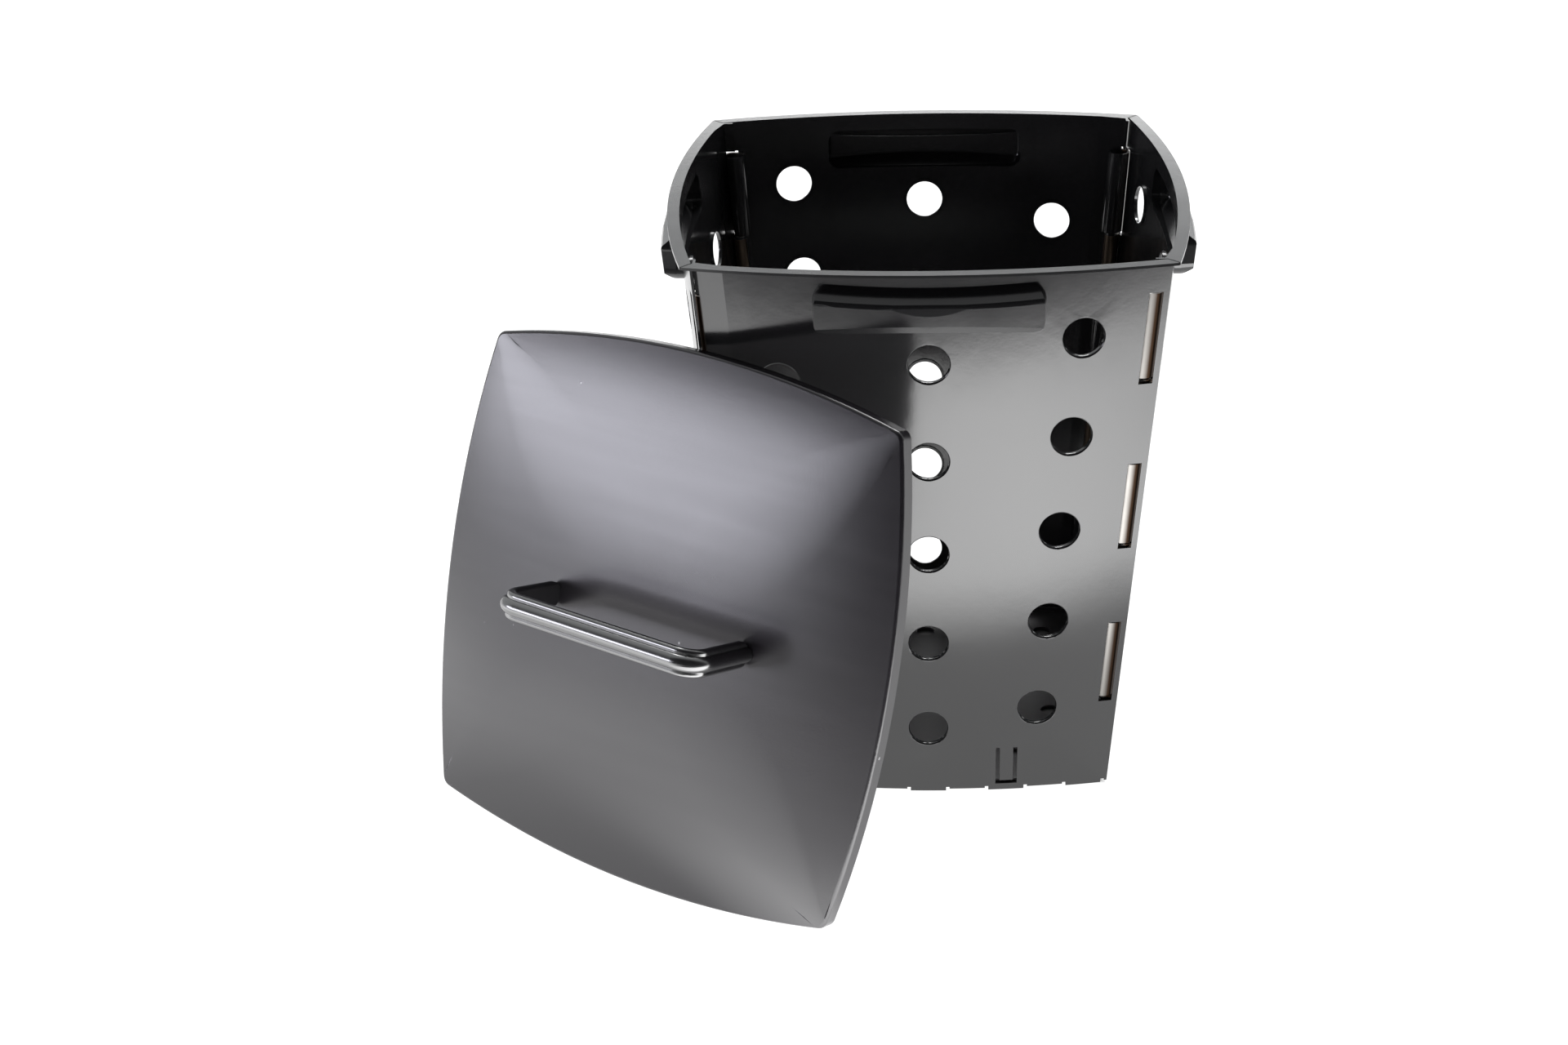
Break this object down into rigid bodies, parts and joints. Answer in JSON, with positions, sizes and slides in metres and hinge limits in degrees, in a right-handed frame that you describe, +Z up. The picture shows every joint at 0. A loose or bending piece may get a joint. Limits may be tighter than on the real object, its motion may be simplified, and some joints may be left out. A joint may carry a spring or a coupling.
{
  "type": "charcoal chimney starter",
  "caption": "Square tapered charcoal chimney starter of hooked sheet-steel panels with air holes and pressed grips, a coal grate inside, and a loose lid with a bar handle leaning on it.",
  "frame": {"origin": "on the body's axis, at the level of the floor it stands on", "axes": "+Z up; the front panel faces -Y and +X is to its right; the lid stands on the floor at -X, -Y and leans on the body's front left corner"},
  "size_m": [0.3431, 0.3371, 0.265],
  "materials": {
    "panel_enamel": "gloss black enamel",
    "grate_steel": "galvanised, dull",
    "lid_paint": "satin black",
    "handle_paint": "gloss black",
    "fastener_steel": "zinc plated"
  },
  "bodies": {
    "starter": {"panel_front": "panel_enamel", "panel_right": "panel_enamel", "panel_back": "panel_enamel", "panel_left": "panel_enamel", "coal_grate": "grate_steel"},
    "lid": {"lid_shell": "lid_paint", "lid_handle": "handle_paint", "lid_washers": "fastener_steel", "lid_screws": "fastener_steel"}
  },
  "joints": [
    {"name": "lid_lift_off", "type": "slide", "parent": "starter", "child": "lid", "axis": [-0.513, -0.8052, 0.2974], "range_m": [0, 0.16]}
  ]
}
